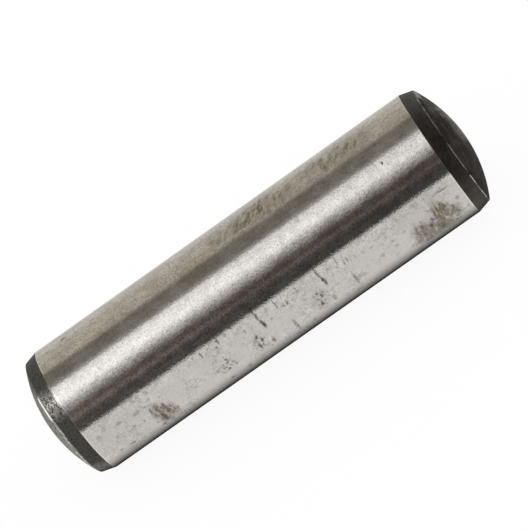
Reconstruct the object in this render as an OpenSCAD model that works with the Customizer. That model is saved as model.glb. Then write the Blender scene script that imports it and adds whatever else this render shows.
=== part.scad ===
// Parallel dowel pin, turned from one bar of steel and hardened.
// The shank is ground to size. Each end has a lead-in chamfer and a crowned face.
// The pin lies along X, with the origin on its axis, midway between the crowns.

/* [Shank] */
// Diameter of the ground shank
pin_d = 10; // [4:0.5:16]
// Overall length, from crown to crown
pin_l = 36; // [12:1:100]

/* [Ends] */
// Length of the lead-in chamfer along the axis, before its rim is rounded
chamfer_l = 1.05; // [0.4:0.05:3]
// Angle between the chamfer and the axis, in degrees
chamfer_angle = 15; // [5:1:30]
// Radius of the crowned end face
crown_r = 10; // [6:0.1:40]
// Radius on the rim, the edge between chamfer and crown
rim_r = 0.15; // [0.05:0.05:0.5]

/* [Hidden] */
$fn = 128;

// How far the cutting shapes run past the metal that they cut
overrun = 1;
// How far the rim's rounding laps over the faces that it blends, so that it crosses them
rim_lap = 0.0002;

// The section is drawn as [radius, distance along the axis].
pin_r = pin_d / 2;
half_l = pin_l / 2;
bar_half_l = half_l + overrun;

// The crown meets the chamfer at its small end, which sets the crown's height and the shank's length.
chamfer_end_r = pin_r - chamfer_l * tan(chamfer_angle);
crown_h = crown_r - sqrt(crown_r * crown_r - chamfer_end_r * chamfer_end_r);
crown_centre = [0, half_l - crown_r];
shank_half_l = half_l - crown_h - chamfer_l;
shank_edge = [pin_r, shank_half_l];

// The rim's rounding blends chamfer and crown, so its centre lies rim_r inside both.
chamfer_out = [cos(chamfer_angle), sin(chamfer_angle)];
chamfer_along = [-sin(chamfer_angle), cos(chamfer_angle)];
rim_arm = crown_r - rim_r;
rim_rise = (shank_edge - crown_centre) * chamfer_out - rim_r;
rim_run = sqrt(rim_arm * rim_arm - rim_rise * rim_rise);
rim_centre = crown_centre + rim_rise * chamfer_out + rim_run * chamfer_along;
crown_out = (rim_centre - crown_centre) / rim_arm;

// Half section of the bar, with its chamfers run on past the crowns
module tapered_bar() {
    bar_end_r = pin_r - (bar_half_l - shank_half_l) * tan(chamfer_angle);
    polygon([
        [0, -bar_half_l],
        [bar_end_r, -bar_half_l],
        [pin_r, -shank_half_l],
        shank_edge,
        [bar_end_r, bar_half_l],
        [0, bar_half_l]
    ]);
}

// What turning the crown takes off the end of the bar
module crown_cut() {
    difference() {
        translate([0, shank_half_l])
            square([pin_r + overrun, bar_half_l + overrun - shank_half_l]);
        translate(crown_centre)
            circle(r = crown_r);
    }
}

// What rounding the rim takes off, between the two faces that the rounding blends
module rim_cut() {
    reach = rim_r + overrun;
    translate(rim_centre)
        difference() {
            polygon([[0, 0], reach * chamfer_out, reach * (chamfer_out + crown_out), reach * crown_out]);
            circle(r = rim_r + rim_lap);
        }
}

module dowel_pin() {
    color([0.66, 0.64, 0.61])
        rotate([0, 90, 0])
            rotate_extrude()
                difference() {
                    tapered_bar();
                    for (end = [0, 1])
                        mirror([0, end]) {
                            crown_cut();
                            rim_cut();
                        }
                }
}

dowel_pin();
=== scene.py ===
import math

import bmesh
import bpy
from mathutils import Matrix, Vector, noise


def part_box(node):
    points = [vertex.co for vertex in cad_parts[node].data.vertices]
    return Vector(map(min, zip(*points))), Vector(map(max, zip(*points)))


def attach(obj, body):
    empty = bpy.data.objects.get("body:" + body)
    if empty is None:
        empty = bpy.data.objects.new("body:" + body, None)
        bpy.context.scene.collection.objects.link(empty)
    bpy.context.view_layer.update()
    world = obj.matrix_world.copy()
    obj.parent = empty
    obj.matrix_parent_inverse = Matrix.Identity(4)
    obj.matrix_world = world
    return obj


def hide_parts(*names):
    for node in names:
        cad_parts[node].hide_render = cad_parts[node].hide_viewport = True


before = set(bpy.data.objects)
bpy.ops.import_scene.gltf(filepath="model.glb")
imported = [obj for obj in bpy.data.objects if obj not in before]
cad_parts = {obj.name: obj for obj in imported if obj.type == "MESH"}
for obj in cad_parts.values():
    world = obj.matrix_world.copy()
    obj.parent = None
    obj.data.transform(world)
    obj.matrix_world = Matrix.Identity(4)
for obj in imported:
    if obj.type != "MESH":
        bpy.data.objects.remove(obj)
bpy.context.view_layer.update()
scene = bpy.context.scene
scene.view_settings.view_transform = "Standard"


# Camera: a long lens looks down on the pin as it lies, a little from its right-hand end.
# It is rolled so that the pin rises to the right of the picture, and aimed a little off the middle.
mm = 0.001
view_distance = 275 * mm
view_elevation = math.radians(37)
view_azimuth = math.radians(6.51)
view_roll = math.radians(-39.1)
aim_right = 0.5 * mm
aim_up = 1.233 * mm

camera = bpy.data.objects.new("camera", bpy.data.cameras.new("camera"))
camera.data.lens = 264.4
camera.data.sensor_width = 36
camera.data.clip_end = 10
camera.matrix_world = (
    Matrix.Rotation(view_azimuth, 4, "Z")
    @ Matrix.Rotation(math.pi / 2 - view_elevation, 4, "X")
    @ Matrix.Rotation(view_roll, 4, "Z")
    @ Matrix.Translation((aim_right, aim_up, view_distance))
)
scene.collection.objects.link(camera)
scene.camera = camera


# The pin: one bar of hardened steel, turned to a crown and a lead-in chamfer at each end.
# Half its section is drawn from the crown's tip to the middle, mirrored, and spun about the X axis.
# The rims are then chipped a little, as handling has left them.
pin_low, pin_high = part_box("dowel_pin")
half_length = pin_high.x
shank_radius = pin_high.z
chamfer_angle = math.radians(15)
chamfer_length = 1.05 * mm
crown_radius = 10 * mm
rim_radius = 0.15 * mm
edge_radius = 0.3 * mm
short_step = 0.03 * mm
merge_distance = 0.0001 * mm
crown_steps = 40
rim_steps = 8
chamfer_steps = 6
edge_steps = 3
shank_steps = 24
turns = 384

outward = Vector((0, 0, 1))
chamfer_out = Vector((math.sin(chamfer_angle), 0, math.cos(chamfer_angle)))
chamfer_along = Vector((math.cos(chamfer_angle), 0, -math.sin(chamfer_angle)))
chamfer_end = shank_radius - chamfer_length * math.tan(chamfer_angle)
crown_height = crown_radius - math.sqrt(crown_radius**2 - chamfer_end**2)
shank_half = half_length - crown_height - chamfer_length
crown_centre = Vector((half_length - crown_radius, 0, 0))
shank_edge = Vector((shank_half, 0, shank_radius))
edge_centre = shank_edge - edge_radius * (outward + chamfer_out) / (1 + outward.dot(chamfer_out))
rim_arm = crown_radius - rim_radius
rim_rise = (shank_edge - crown_centre).dot(chamfer_out) - rim_radius
rim_run = math.sqrt(rim_arm**2 - rim_rise**2)
rim_centre = crown_centre + rim_rise * chamfer_out + rim_run * chamfer_along
crown_sweep = math.atan2(rim_centre.z, rim_centre.x - crown_centre.x)
rim_sweep = math.pi / 2 - chamfer_angle - crown_sweep
rim_turn = crown_sweep + rim_sweep / 2
rim_middle = rim_centre + rim_radius * Vector((math.cos(rim_turn), 0, math.sin(rim_turn)))

section = bmesh.new()


def arc_from(vert, centre, sweep, steps):
    made = bmesh.ops.spin(section, geom=[vert], cent=centre, axis=(0, -1, 0), angle=sweep, steps=steps)
    return next(item for item in made["geom_last"] if isinstance(item, bmesh.types.BMVert))


def line_to(vert, end, steps):
    """A straight run from vert to end, with a short step at each end to keep the shading crisp there."""
    start = vert.co.copy()
    inset = short_step / (end - start).length
    shares = [inset] + [inset + (1 - 2 * inset) * step / steps for step in range(1, steps + 1)] + [1]
    for share in shares:
        vert = bmesh.ops.extrude_vert_indiv(section, verts=[vert])["verts"][0]
        vert.co = start.lerp(end, share)
    return vert


crown_tip = section.verts.new((half_length, 0, 0))
crown_edge = arc_from(crown_tip, crown_centre, crown_sweep, crown_steps)
chamfer_start = arc_from(crown_edge, rim_centre, rim_sweep, rim_steps)
chamfer_stop = line_to(chamfer_start, edge_centre + edge_radius * chamfer_out, chamfer_steps)
shank_start = arc_from(chamfer_stop, edge_centre, chamfer_angle, edge_steps)
line_to(shank_start, Vector((0, 0, shank_radius)), shank_steps)
bmesh.ops.mirror(section, geom=section.verts[:] + section.edges[:], axis="X", merge_dist=merge_distance)
bmesh.ops.remove_doubles(section, verts=section.verts, dist=merge_distance)
bmesh.ops.spin(
    section,
    geom=section.verts[:] + section.edges[:],
    cent=(0, 0, 0),
    axis=(1, 0, 0),
    angle=math.tau,
    steps=turns,
    use_merge=True,
)
bmesh.ops.remove_doubles(section, verts=section.verts, dist=merge_distance)
bmesh.ops.recalc_face_normals(section, faces=section.faces)

left_chip_depth = 0.04 * mm
right_chip_depth = 0.12 * mm
chip_reach = 0.2 * mm
chips_per_mm = 2.2
chip_threshold = 0.1
for vert in section.verts:
    off_axis = math.hypot(vert.co.y, vert.co.z)
    off_rim = math.hypot(abs(vert.co.x) - rim_middle.x, off_axis - rim_middle.z)
    near = max(0.0, 1 - off_rim / chip_reach)
    chip = max(0.0, noise.noise(vert.co / mm * chips_per_mm) - chip_threshold)
    depth = right_chip_depth if vert.co.x > 0 else left_chip_depth
    vert.co -= vert.normal * near * chip * depth

mesh = bpy.data.meshes.new("dowel_pin_turned")
for face in section.faces:
    face.smooth = True
    face.material_index = int(abs(face.calc_center_median().x) > shank_half)
section.to_mesh(mesh)
section.free()
pin = bpy.data.objects.new("dowel_pin_turned", mesh)
scene.collection.objects.link(pin)
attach(pin, "root")
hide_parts("dowel_pin")


# The shank's finish: ground steel, grey and slightly warm, with a fine grain and smooth patches low down.
# Old damp has left brown blots along the lower side, a few dark hairlines and a smear along the top.


class Wire:
    """A shader node's output. Arithmetic on it adds Math nodes to its tree."""

    def __init__(self, tree, socket=None):
        self.tree = tree
        self.socket = socket

    def add(self, kind, settings, sockets, out=0):
        """A new node's output. Its settings are made first, then its sockets are set or linked."""
        node = self.tree.nodes.new("ShaderNode" + kind)
        for name, value in settings.items():
            if name == "stops":
                set_stops(node.color_ramp, value)
            else:
                setattr(node, name, value)
        for name, value in sockets.items():
            if isinstance(value, Wire):
                self.tree.links.new(value.socket, node.inputs[name])
            else:
                node.inputs[name].default_value = value
        return Wire(self.tree, node.outputs[out] if node.outputs else None)

    def math(self, operation, *values):
        return self.add("Math", {"operation": operation}, dict(enumerate(values)))

    def __add__(self, other):
        return self.math("ADD", self, other)

    def __sub__(self, other):
        return self.math("SUBTRACT", self, other)

    def __rsub__(self, other):
        return self.math("SUBTRACT", other, self)

    def __mul__(self, other):
        return self.math("MULTIPLY", self, other)

    def __truediv__(self, other):
        return self.math("DIVIDE", self, other)

    __radd__ = __add__
    __rmul__ = __mul__

    def root(self):
        return self.math("SQRT", self)

    def size(self):
        return self.math("ABSOLUTE", self)

    def capped(self):
        return self.math("MINIMUM", self, 1.0)

    def step(self, low, high):
        """0 at low, 1 at high, with a smooth rise between them."""
        settings = {"interpolation_type": "SMOOTHSTEP"}
        return self.add("MapRange", settings, {"Value": self, "From Min": low, "From Max": high})

    def part(self, axis):
        return self.add("SeparateXYZ", {}, {0: self}, axis)

    def stretch(self, factors):
        return self.add("VectorMath", {"operation": "MULTIPLY"}, {0: self, 1: factors})

    def off(self, middle, half_sizes):
        """Distance of the vector from the middle, in half sizes."""
        moved = self.add("VectorMath", {"operation": "SUBTRACT"}, {0: self, 1: middle})
        shares = self.add("VectorMath", {"operation": "DIVIDE"}, {0: moved, 1: half_sizes})
        return self.add("VectorMath", {"operation": "LENGTH"}, {0: shares}, "Value")

    def along(self, direction):
        """How far the vector reaches along a direction."""
        return self.add("VectorMath", {"operation": "DOT_PRODUCT"}, {0: self, 1: direction}, "Value")

    def noise(self, scale, detail=2.0, roughness=0.5):
        """Noise about 0, with this many features to a unit of the vector."""
        sockets = {"Vector": self, "Scale": scale, "Detail": detail, "Roughness": roughness}
        return self.add("TexNoise", {}, sockets, "Fac") - 0.5


def set_stops(ramp, stops):
    while len(ramp.elements) < len(stops):
        ramp.elements.new(1.0)
    for element, (position, colour) in zip(ramp.elements, stops):
        element.position = position
        element.color = colour


def blend(under, over, share, how="MIX"):
    """Two colours mixed. The Mix node's colours are its inputs 6 and 7 and its output 2."""
    wire = next(item for item in (share, under, over) if isinstance(item, Wire))
    return wire.add("Mix", {"data_type": "RGBA", "blend_type": how}, {0: share, 6: under, 7: over}, 2)


def new_material(name):
    """An empty material, and the place on the object in millimetres."""
    material = bpy.data.materials.new(name)
    material.use_nodes = True
    material.node_tree.nodes.clear()
    place = Wire(material.node_tree).add("TexCoord", {}, {}, "Object").stretch((1 / mm, 1 / mm, 1 / mm))
    return material, place


steel_pale = (0.67, 0.65, 0.625, 1)
steel_dull = (0.43, 0.415, 0.4, 1)
pit_colour = (0.2, 0.19, 0.175, 1)
fleck_colour = (0.3, 0.287, 0.268, 1)
film_colour = (0.47, 0.445, 0.36, 1)
olive_haze = (0.23, 0.211, 0.165, 1)
pink_haze = (0.265, 0.231, 0.204, 1)
rust_colour = (0.085, 0.076, 0.058, 1)
smear_colour = (0.19, 0.165, 0.11, 1)
mark_colour = (0.07, 0.063, 0.05, 1)
ground_roughness = 0.07
grain_depth = 0.006 * mm

# Blots: mm along the axis, degrees up from the front, half length, half width, share of specks and of haze
blots = [
    (-13.3, 0, 2.6, 3.0, 0.25, 0.12),
    (-10.55, -8, 0.75, 1.1, 0.5, 0.75),
    (-10.0, -15, 0.85, 1.1, 0.5, 0.8),
    (-10.6, -20, 0.6, 0.6, 0.2, 0.4),
    (-5.4, 11, 1.4, 1.1, 0.4, 0.08),
    (-4.6, -9, 0.9, 1.0, 0.6, 0.12),
    (-2.4, 9, 1.2, 1.2, 0.35, 0.08),
    (-1.85, -9, 0.65, 1.4, 0.5, 0.16),
    (2.6, 9, 1.1, 1.1, 0.15, 0.08),
    (3.25, -9, 0.8, 1.4, 0.6, 0.35),
    (12.4, 12, 3.2, 1.4, 0.1, 0.16),
    (11.75, -16, 0.95, 1.4, 0.4, 1.1),
    (12.6, -20, 1.1, 0.9, 0.3, 0.95),
    (13.85, -14.5, 1.3, 1.6, 0.5, 1.1),
    (13.6, -2, 0.6, 1.2, 0.45, 0.5),
    (12.3, -7, 0.55, 0.7, 0.2, 0.5),
]

# The smear along the top: mm along the axis, half length, share
smear_degrees = 94
smear_half_wide = 1.4
smear_patches = [(-0.3, 1.0, 0.6), (3.2, 3.2, 1.0), (9.5, 3.4, 0.9)]

# Dark marks: mm along the axis, degrees up from the front, half length and half height in mm, darkness
marks = [
    # Hairlines, with their thicker feet and the spots beside and below them
    (-1.06, 19, 0.07, 0.6, 0.55),
    (-0.99, 12, 0.09, 0.6, 0.65),
    (-0.9, 5, 0.15, 0.5, 0.85),
    (-0.25, 5, 0.12, 0.12, 0.5),
    (-1.24, -5.2, 0.08, 0.12, 0.35),
    (-1.06, -16, 0.17, 0.4, 0.6),
    (4.15, 19, 0.08, 0.6, 0.6),
    (4.23, 12, 0.09, 0.6, 0.65),
    (4.31, 5, 0.15, 0.5, 0.8),
    (5.03, 5, 0.09, 0.12, 0.45),
    (3.97, -5.2, 0.1, 0.12, 0.35),
    (4.15, -16, 0.17, 0.4, 0.6),
    (0.55, 14, 0.08, 0.5, 0.6),
    (5.77, 14, 0.08, 0.5, 0.55),
    (0.86, -16, 0.14, 0.85, 0.6),
    (6.15, -12, 0.13, 0.95, 0.55),
    # Ticks, high up and along the lower edge
    (1.0, 9, 0.08, 0.22, 0.55),
    (1.28, 9, 0.09, 0.25, 0.7),
    (1.45, 6.2, 0.06, 0.12, 0.4),
    (1.7, 8, 0.07, 0.15, 0.4),
    (6.18, 9, 0.08, 0.25, 0.5),
    (6.45, 9.5, 0.09, 0.3, 0.6),
    (6.67, 7, 0.08, 0.15, 0.35),
    (7.02, 7.3, 0.07, 0.15, 0.35),
    (7.66, 7, 0.12, 0.2, 0.4),
    (8.31, 6, 0.2, 0.1, 0.35),
    (-4.23, 16, 0.11, 0.35, 0.65),
    (-2.94, 19, 0.1, 0.2, 0.7),
    (-5.05, -27, 0.16, 0.25, 0.5),
    (-3.55, -27, 0.2, 0.25, 0.5),
    (0.57, -30, 0.25, 0.2, 0.35),
    (1.3, -29.5, 0.3, 0.2, 0.35),
    (2.0, -27, 0.14, 0.22, 0.55),
    # Strokes in the blots
    (-11.0, -2.5, 0.12, 0.35, 0.55),
    (-10.6, -1.5, 0.17, 0.32, 0.65),
    (-10.5, -6.5, 0.11, 0.27, 0.6),
    (-10.0, -4.3, 0.13, 0.38, 0.8),
    (-9.95, -11.3, 0.15, 0.36, 1.0),
    (-9.68, -8.5, 0.1, 0.2, 0.4),
    (-9.58, -14.3, 0.14, 0.3, 0.5),
    (-10.72, -16.8, 0.2, 0.12, 0.45),
    (-10.45, -20.3, 0.13, 0.35, 0.6),
    (-11.12, -16.7, 0.12, 0.16, 0.8),
    (-10.85, -24.4, 0.24, 0.17, 0.75),
    (-10.17, -25, 0.15, 0.2, 0.4),
    (-9.6, -21, 0.12, 0.15, 0.5),
    (-9.33, -15, 0.14, 0.22, 0.45),
    (-4.65, -6.6, 0.11, 0.13, 0.6),
    (-4.75, -13.6, 0.12, 0.18, 0.75),
    (-4.1, -12.6, 0.1, 0.13, 0.55),
    (-4.5, -10.4, 0.09, 0.13, 0.5),
    (-4.9, -9.5, 0.1, 0.13, 0.5),
    (-2.38, -9, 0.07, 0.2, 0.35),
    (-2.25, -4.5, 0.1, 0.2, 0.25),
    (-1.95, -2.5, 0.1, 0.25, 0.45),
    (-1.7, -7.5, 0.13, 0.36, 0.75),
    (-2.05, -14, 0.12, 0.3, 0.75),
    (-1.82, -14, 0.09, 0.24, 0.55),
    (-2.2, -18, 0.12, 0.18, 0.3),
    (3.0, -1.7, 0.1, 0.13, 0.5),
    (3.3, -1.2, 0.12, 0.14, 0.75),
    (3.5, -5, 0.12, 0.28, 0.6),
    (3.08, -6.2, 0.1, 0.18, 0.5),
    (3.22, -13.1, 0.13, 0.32, 0.7),
    (3.53, -11, 0.09, 0.2, 0.55),
    (2.85, -17.5, 0.12, 0.13, 0.5),
    (13.22, -4.7, 0.13, 0.15, 0.7),
    (13.59, 2.9, 0.1, 0.4, 0.45),
    (13.86, -1.9, 0.13, 0.3, 0.5),
    (14.07, 0.2, 0.1, 0.35, 0.5),
    (11.57, -4.8, 0.15, 0.3, 0.35),
    (11.98, -6.9, 0.15, 0.25, 0.45),
    (14.6, -11.4, 0.16, 0.3, 0.4),
    (12.8, -8.5, 0.12, 0.35, 0.3),
    # Soft smudges near the left end
    (-15.0, 6, 0.25, 0.35, 0.2),
    (-14.42, 10, 0.2, 0.15, 0.25),
    (-13.28, 7, 0.3, 0.18, 0.35),
    (-11.85, 5, 0.4, 0.2, 0.4),
    (-11.32, 8.5, 0.12, 0.15, 0.3),
    (-11.14, 5.7, 0.14, 0.15, 0.3),
    (-13.95, -3.9, 0.15, 0.17, 0.55),
    (-12.6, -4.8, 0.22, 0.25, 0.3),
    (-11.81, -6.1, 0.08, 0.1, 0.7),
    (-12.73, -15, 0.12, 0.12, 0.25),
    (-13.43, -20.5, 0.32, 0.2, 0.6),
    (-14.4, -19.5, 0.25, 0.2, 0.45),
    (-11.55, 16.5, 0.15, 0.2, 0.3),
    (-11.15, 16.6, 0.2, 0.15, 0.35),
    (-10.5, 15.6, 0.25, 0.25, 0.3),
    # A pit and a nick
    (12.32, 57.6, 0.11, 0.11, 1.0),
    (-13.37, 104.4, 0.3, 0.2, 0.8),
    # Soft smudges along the rest of the shank
    (-3.6, 17, 0.2, 0.2, 0.4),
    (-0.25, 13.4, 0.2, 0.08, 0.35),
    (4.97, 12.3, 0.2, 0.08, 0.4),
    (7.9, -4.8, 0.07, 0.1, 0.5),
    (8.6, -7.5, 0.25, 0.22, 0.3),
    (9.83, -7.5, 0.2, 0.22, 0.3),
    (9.48, -17.7, 0.17, 0.1, 0.3),
    (5.2, 60, 0.25, 0.2, 0.25),
    (10.4, 60, 0.2, 0.2, 0.25),
    (10.8, 13.5, 0.22, 0.3, 0.4),
    (10.8, -0.2, 0.2, 0.1, 0.35),
    (10.7, -20.3, 0.2, 0.15, 0.4),
    (15.2, -2.4, 0.2, 0.25, 0.35),
    (15.5, -17.8, 0.2, 0.25, 0.35),
    # A scratch
    (14.5, 11.8, 0.65, 0.1, 0.65),
]


def ground_steel():
    """The finish is laid out by x along the axis and by the climb round the shank from its front, in mm."""
    material, place = new_material("ground_steel")
    radius = shank_radius / mm
    x = place.part("X")
    z = place.part("Z")
    climb = z.math("ARCTAN2", z, 0 - place.part("Y")) * radius
    ragged = place.noise(1.6, 4.0, 0.6)
    grit = place.noise(6.0, 2.0, 0.8)

    # Blots
    unrolled = place.add("CombineXYZ", {}, {0: x, 1: climb})
    blot_edge = ragged * 1.2 + grit * 0.4
    speckled = 0.0
    haze = 0.0
    for along, degrees, half_long, half_wide, speck_share, haze_share in blots:
        off_middle = unrolled.off((along, math.radians(degrees) * radius, 0), (half_long, half_wide, 1))
        inside = (off_middle + blot_edge).step(1.15, 0.5)
        speckled = inside * speck_share + speckled
        haze = inside * haze_share + haze
    strokes = place.stretch((1.0, 0.5, 0.5)).noise(3.6, 2.0, 0.65)
    specks = (strokes + speckled * 0.22).step(0.17, 0.32)
    haze = haze * (strokes * 2.4 + grit * 1.6 + ragged * 1.2 + 0.8)

    # Smear
    smear_climb = math.radians(smear_degrees) * radius
    leaning = place.add("CombineXYZ", {}, {0: x - climb * 0.3, 1: climb * 0.45, 2: 4.0})
    slanted = leaning.noise(2.6, 3.0, 0.7)
    smear = 0.0
    for along, half_long, share in smear_patches:
        off_middle = unrolled.off((along, smear_climb, 0), (half_long, smear_half_wide, 1))
        smear = (off_middle + ragged * 1.5).step(1.1, 0.4) * share + smear
    smear = smear * (slanted.step(-0.1, 0.14) + grit * 2.0 + ragged * 0.5)

    # Dark marks
    wavering = place.add("CombineXYZ", {}, {0: x + ragged * 0.2 + grit * 0.3, 1: climb + ragged * 0.3})
    dark = 0.0
    for along, degrees, half_long, half_high, darkness in marks:
        off_middle = wavering.off((along, math.radians(degrees) * radius, 0), (half_long, half_high, 1))
        dark = off_middle.step(1.15, 0.4) * darkness + dark
    dark = dark * (strokes * 1.5 + grit * 1.5 + 0.95)

    # Sides of the shank, with the share of flecks and grit that each has
    behind = climb.step(11.2, 14.8)
    top_side = climb.step(5.4, 6.2) - behind
    front_side = climb.step(1.5, 2.0) * climb.step(4.2, 3.4)
    low_side = climb.step(1.5, 0.4) + behind
    damp_side = climb.step(3.3, 2.6) * 0.8 + climb.step(6.5, 8.0) * 0.6 + behind * 0.2 + 0.15
    top_grit = climb.step(6.7, 7.2) * 4.6 - climb.step(5.3, 5.8) * 0.7
    grit_share = top_grit * (1 - behind) + front_side * 3.0 + 1.7

    # Flecks, pits, streaks, clouds, film and grain
    clumps = place.noise(0.55, 2.0).step(-0.06, 0.12) * 0.8 + 0.2
    flecks = place.noise(2.6, 3.0, 0.7).step(0.03, 0.16) * clumps * damp_side
    pits = place.noise(8.0, 0.0).step(0.16, 0.28)
    streaks = place.stretch((0.12, 2.6, 2.6)).noise(1.0, 2.0, 0.6) * top_side
    clouds = place.stretch((0.7, 1.0, 1.0)).noise(0.9, 4.0, 0.75) * (top_side * 4.0 + front_side * 5.5)
    film = place.noise(0.6, 3.0, 0.6).step(-0.08, 0.14) * top_side
    grain = place.noise(1.2, 4.0, 1.0)
    rough_patch = 1 - (1 - clumps) * low_side * 0.8
    mottled = (grain * 2.5 + grit * grit_share * 1.1) * rough_patch

    # Colour, from the bare steel to the darkest marks
    shade = blend(steel_dull, steel_pale, mottled + streaks + clouds + 0.5)
    rub = (x.size() - shank_half / mm).step(-0.12, -0.05)
    shade = blend(shade, steel_pale, rub * 0.7)
    shade = blend(shade, film_colour, film * 0.5)
    shade = blend(shade, fleck_colour, flecks * 0.7)
    shade = blend(shade, pit_colour, pits * rough_patch * 0.5)
    olive_part = (x * 0.15 + ragged).step(1.8, 2.05) + x.step(-8.5, -7.5) * x.step(10, 9)
    stain = blend(pink_haze, olive_haze, olive_part)
    shade = blend(shade, stain, (haze + specks * 0.6).capped())
    shade = blend(shade, smear_colour, (smear * 0.9).capped())
    shade = blend(shade, rust_colour, specks.step(0.3, 1.0) * 0.5)
    shade = blend(shade, mark_colour, dark.capped())

    # Relief: grit, the lay of the grinding round the shank, and pitted specks
    lay = place.stretch((10.0, 1.5, 1.5)).noise(1.0, 2.0)
    relief = grit + lay * 0.3 - specks * 0.8
    bump = place.add("Bump", {}, {"Strength": 1.0, "Distance": grain_depth, "Height": relief}, "Normal")
    shader = place.add("BsdfPrincipled", {}, {
        "Base Color": shade,
        "Metallic": 1.0,
        "Roughness": ground_roughness + grain * 0.1 + (haze + specks) * 0.15,
        "Normal": bump,
    })
    place.add("OutputMaterial", {}, {"Surface": shader})
    return material


mesh.materials.append(ground_steel())


# The ends' finish: the dark, matt skin that hardening leaves, with the turning marks still under it.
# Handling has rubbed the rims bright and left bare steel on the left chamfer, and the left end is paler
# than the right. The left crown's grey is a painted reflection, the right chamfer and crown carry painted
# sheen, and the crescent on the left rim is a painted highlight.
skin_dark = (0.0135, 0.011, 0.009, 1)
skin_pale = (0.036, 0.031, 0.0267, 1)
# Paler skin: the left end's tone, and the painted sheen on the right chamfer
paler_skin_and_sheen = (0.06, 0.0565, 0.049, 1)
# Grey for the painted reflection on the left crown and for the worn scuff on the right crown
scuff_grey_and_painted_reflection = (0.27, 0.263, 0.245, 1)
# Grey for the painted sheen on the right crown
painted_sheen_grey = (0.15, 0.146, 0.135, 1)
bare_steel = (0.56, 0.545, 0.525, 1)
# Polished steel, brighter than steel is, for the crescent's painted highlight
polished_steel_highlight = (0.95, 0.94, 0.92, 1)
skin_roughness = 0.45
skin_gloss = 0.05
skin_depth = 0.008 * mm

# Middles of the crescent, polished steel with a painted highlight, of the worn edge and of the scuff, in
# degrees up from the front
crescent_highlight_degrees = 54
worn_edge_degrees = 56
scuff_degrees = 110

# Two directions across the end faces, at right angles to each other
front_and_up = (0, -0.8, 0.6)
back_and_up = (0, 0.6, 0.8)

# Bare patches on the left chamfer: degrees up from the front, half width in degrees, share of bare steel
bare_patches = [(53, 18, 0.48), (-27, 12, 0.2)]


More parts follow.
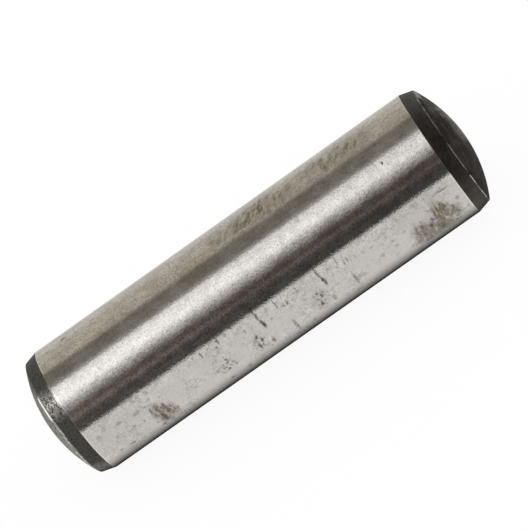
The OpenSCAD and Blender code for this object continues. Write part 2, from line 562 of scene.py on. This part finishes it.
def hardened_skin():
    material, place = new_material("hardened_skin")
    x = place.part("X")
    y = place.part("Y")
    z = place.part("Z")
    end = x.size()
    off_axis = (y * y + z * z).root()
    degrees = z.math("ARCTAN2", z, 0 - y) * math.degrees(1)
    left = x.step(1, -1)
    right = 1 - left
    rim_x = rim_middle.x / mm
    rim_r = rim_middle.z / mm
    crown = off_axis.step(rim_r, rim_r - 0.06)
    fine = place.noise(7.0, 2.0, 0.9)
    spots = place.noise(2.2, 3.0, 0.8)
    coarse = place.noise(1.1, 3.0, 0.6)
    rings = place.add("CombineXYZ", {}, {0: off_axis, 1: coarse * 0.3}).noise(1.5, 3.0, 0.75)

    # Bare steel: the rubbed rim at the right, and a ring, patches and a worn edge at the left
    from_rim_x = end - rim_x
    from_rim_r = off_axis - rim_r
    from_rim = (from_rim_x * from_rim_x + from_rim_r * from_rim_r).root()
    knocks = degrees.step(14, 2) * degrees.step(-110, -70) * 0.65 + degrees.step(66, 80) * 0.4 + 0.35
    rubbed = (from_rim + fine * 0.2).step(0.06, 0.01) * right * knocks * (coarse + fine).step(-0.15, 0.1)
    ring = left * crown * (from_rim + fine * 0.1).step(0.68, 0.56)
    # The crescent on the left crown by the rim: polished steel with a painted highlight where the softbox
    # falls
    crescent_highlight = ring * from_rim.step(0.18, 0.3) * (degrees - crescent_highlight_degrees).size().step(16, 9)
    streak = ring * degrees.step(45, 36) * degrees.step(-110, -60) * (spots * 2.0 + fine * 2.0 + 0.3)
    patches = 0.0
    for middle, half_wide, share in bare_patches:
        off_middle = (degrees + coarse * 20 - middle).size()
        patches = off_middle.step(half_wide, half_wide * 0.2) * share + patches
    patches = patches * left * (1 - crown) * (fine * 5.0 + spots * 2.0 + 0.75)
    past_edge = end - shank_half / mm
    worn_arc = (degrees - worn_edge_degrees).size().step(14, 8)
    worn_edge = left * (past_edge + fine * 0.2).step(0.16, 0.08) * worn_arc * 0.4
    bare = (rubbed + crescent_highlight + streak + patches + worn_edge).capped()

    # The skin's own colour, then the paler left end, the painted sheen and painted reflection, and the grey
    # scuff, then the bare steel and the crescent's painted highlight
    mottle = (coarse * 2.0 + spots + fine * 0.5 + rings).step(-0.3, 0.4)
    inward = from_rim.step(0.0, 1.2) * 0.35 + 0.65
    shade = blend(skin_dark, skin_pale, mottle * (crown * inward * 0.65 + 0.35) + crown * 0.05)
    # The right chamfer lighter at its top and bottom, in spots: painted sheen where the skin mirrors the
    # back wall and the paper
    painted_sheen_share = (degrees.step(55, 105) + degrees.step(25, -25)) * (spots * 2.0 + 0.9)
    shade = blend(shade, paler_skin_and_sheen, right * (1 - crown) * painted_sheen_share)
    # The whole left end paler than the right, mottled
    shade = blend(shade, paler_skin_and_sheen, left * (1 + fine * 5.0))
    # The left crown's face painted grey, a painted reflection of the paper, broken by the turning rings and
    # spots
    toward = place.along(front_and_up)
    across = place.along(back_and_up)
    painted_reflection_face = left * crown * across.step(3.6, 1.6) * toward.step(-4.5, 1.0)
    shade = blend(shade, scuff_grey_and_painted_reflection, painted_reflection_face * (0.5 + rings * 2.5 + spots * 2.5 + fine * 2.5))
    # The right crown lighter near its tip and on its upper shoulder, mottled: painted sheen
    tip = toward.step(2.9, 1.2) * across.step(-0.8, 0.4) * across.step(3.6, 2.2) * 1.3
    shoulder = across.step(1.8, 4.2) * from_rim.step(0.1, 0.8) * 0.5
    scuff_arc = (degrees - scuff_degrees).size().step(14, 6)
    scuff_broken = spots * 3.0 + fine * 3.0 + 1.1
    scuff = right * crown * scuff_arc * from_rim.step(0.7, 0.2) * scuff_broken
    shade = blend(shade, painted_sheen_grey, right * crown * (tip + shoulder) * (mottle * 0.7 + 0.3))
    shade = blend(shade, scuff_grey_and_painted_reflection, scuff)
    shade = blend(shade, bare_steel, bare)
    # The crescent's painted highlight
    shade = blend(shade, polished_steel_highlight, crescent_highlight)

    relief = rings * 0.4 + fine
    bump = place.add("Bump", {}, {"Strength": 1.0, "Distance": skin_depth, "Height": relief}, "Normal")
    shader = place.add("BsdfPrincipled", {}, {
        "Base Color": shade,
        "Metallic": bare,
        "Roughness": skin_roughness + right * crown * 0.2 - bare * 0.25 + coarse * 0.15,
        "Specular IOR Level": skin_gloss,
        "Normal": bump,
    })
    place.add("OutputMaterial", {}, {"Surface": shader})
    return material


mesh.materials.append(hardened_skin())


# The table: a broad sheet of white paper that the pin lies on.
# It looks white with a soft shadow, and the steel mirrors it with a painted shadow under the pin and
# painted dimming behind it.
paper_half = 3.0
paper_mesh = bpy.data.meshes.new("paper")
sheet = bmesh.new()
bmesh.ops.create_grid(sheet, x_segments=1, y_segments=1, size=paper_half)
bmesh.ops.translate(sheet, verts=sheet.verts, vec=(0, 0, pin_low.z))
sheet.to_mesh(paper_mesh)
sheet.free()
paper = bpy.data.objects.new("paper", paper_mesh)
scene.collection.objects.link(paper)

paper_white = (1, 1, 1, 1)
paper_in_front = (0.97, 0.955, 0.94, 1)
paper_behind = (0.72, 0.7, 0.665, 1)
paper_shadow = (0.005, 0.005, 0.005, 1)
paper_fibre = (0.985, 0.985, 0.985, 1)
glow_share = 0.93

# In mm from the pin's middle: where the painted shadow that the steel mirrors starts to fade and is gone,
# across and along, and where the painted dimming of the paper behind the pin starts and is full
shadow_fade_across = (2.25, 5.75)
shadow_fade_along = (16, 20)
dim_fade = (8, 30)


def white_paper():
    material, place = new_material("white_paper")
    y = place.part("Y")
    past_end = place.part("X").size().step(*shadow_fade_along)
    lit = (y.size().step(*shadow_fade_across) + past_end).capped()
    seen = place.add("LightPath", {}, {}, "Is Camera Ray")
    mirrored = place.add("LightPath", {}, {}, "Is Glossy Ray")
    # What the steel mirrors: the paper painted dimmer behind the pin, with a painted shadow under it
    sheet_colour = blend(paper_in_front, paper_behind, y.step(*dim_fade))
    reflection = blend(paper_shadow, sheet_colour, lit)
    glow_colour = blend(paper_white, reflection, mirrored)
    glow = place.add("Emission", {}, {"Color": glow_colour, "Strength": 1.0})
    fibre = blend(paper_fibre, paper_white, place.noise(0.8, 3.0) + 0.5)
    matt = place.add("BsdfDiffuse", {}, {"Color": fibre})
    surface = place.add("MixShader", {}, {0: seen * glow_share + mirrored, 1: matt, 2: glow})
    place.add("OutputMaterial", {}, {"Surface": surface})
    return material


paper_mesh.materials.append(white_paper())


# The light: an even white tent for all that is matt. Polished steel mirrors the tent's walls:
# a dark opening in front, a softbox above it to the left, a dim roof and a warm pale wall behind.
half_turn = 180
tent_white = (1, 1, 1, 1)

# Wall colour by degrees over the top, from the front horizon to the back one
tent_walls = [
    (0, (0.5, 0.48, 0.46)),
    (2, (0.5, 0.48, 0.46)),
    (2.7, (0.08, 0.078, 0.075)),
    (18.5, (0.075, 0.072, 0.07)),
    (23.5, (0.12, 0.105, 0.1)),
    (27.5, (0.19, 0.16, 0.148)),
    (32.5, (0.12, 0.095, 0.085)),
    (40.5, (0.11, 0.09, 0.085)),
    (90, (0.24, 0.235, 0.218)),
    (102, (0.26, 0.249, 0.222)),
    (117.5, (0.25, 0.231, 0.194)),
    (124.5, (0.53, 0.493, 0.43)),
    (140, (0.585, 0.544, 0.473)),
    (155, (0.63, 0.59, 0.515)),
    (170, (0.67, 0.64, 0.59)),
    (180, (0.76, 0.74, 0.7)),
]

# Softbox brightness by the same degrees
softbox_profile = [
    (0, 0.0), (36, 0.0), (40.5, 0.04), (45.5, 0.178), (51.5, 0.375),
    (57.5, 0.67), (63.5, 0.95), (67.5, 0.99), (73.5, 0.93), (80.5, 0.82),
    (86.5, 0.71), (89.5, 0.2), (94.5, 0.05), (98, 0.0), (180, 0.0),
]
softbox_light = 1.58

world = bpy.data.worlds.new("tent")
scene.world = world
world.use_nodes = True
world.node_tree.nodes.clear()
world.cycles.sampling_method = "NONE"
sky = Wire(world.node_tree).add("TexCoord", {}, {}, "Generated")
sky_z = sky.part("Z")
over = sky_z.math("ARCTAN2", sky_z, 0 - sky.part("Y")) * math.degrees(1)
side = sky_z.math("ARCSINE", sky.part("X")) * math.degrees(1)
over_share = over / half_turn
wall_stops = [(degrees / half_turn, (*colour, 1)) for degrees, colour in tent_walls]
box_stops = [(degrees / half_turn, (value, value, value, 1)) for degrees, value in softbox_profile]
walls = over_share.add("ValToRGB", {"stops": wall_stops}, {"Fac": over_share})
front_glow = side.step(-5, -8) * 0.62 - over.step(12, 20) * 0.13
front_wall = over.step(50, 42) * front_glow
back_wall = over.step(115, 130) * side.step(-5.5, -7.8) * 0.13
left_wall = front_wall + back_wall + side.step(-15, -50) * 0.75
walls = blend(walls, 1 + left_wall - side.step(8, 35) * 0.5, 1.0, "MULTIPLY")
box = over_share.add("ValToRGB", {"stops": box_stops}, {"Fac": over_share})
box_light = (side.step(16, -13) + side.step(-15, -45) * 0.4) * side.step(-85, -70) * softbox_light
box = blend(box, box_light, 1.0, "MULTIPLY")
mirrored = sky.add("LightPath", {}, {}, "Is Glossy Ray")
light = blend(tent_white, blend(walls, box, 1.0, "ADD"), mirrored)
backdrop = sky.add("Background", {}, {"Color": light, "Strength": 1.0})
sky.add("OutputWorld", {}, {"Surface": backdrop})
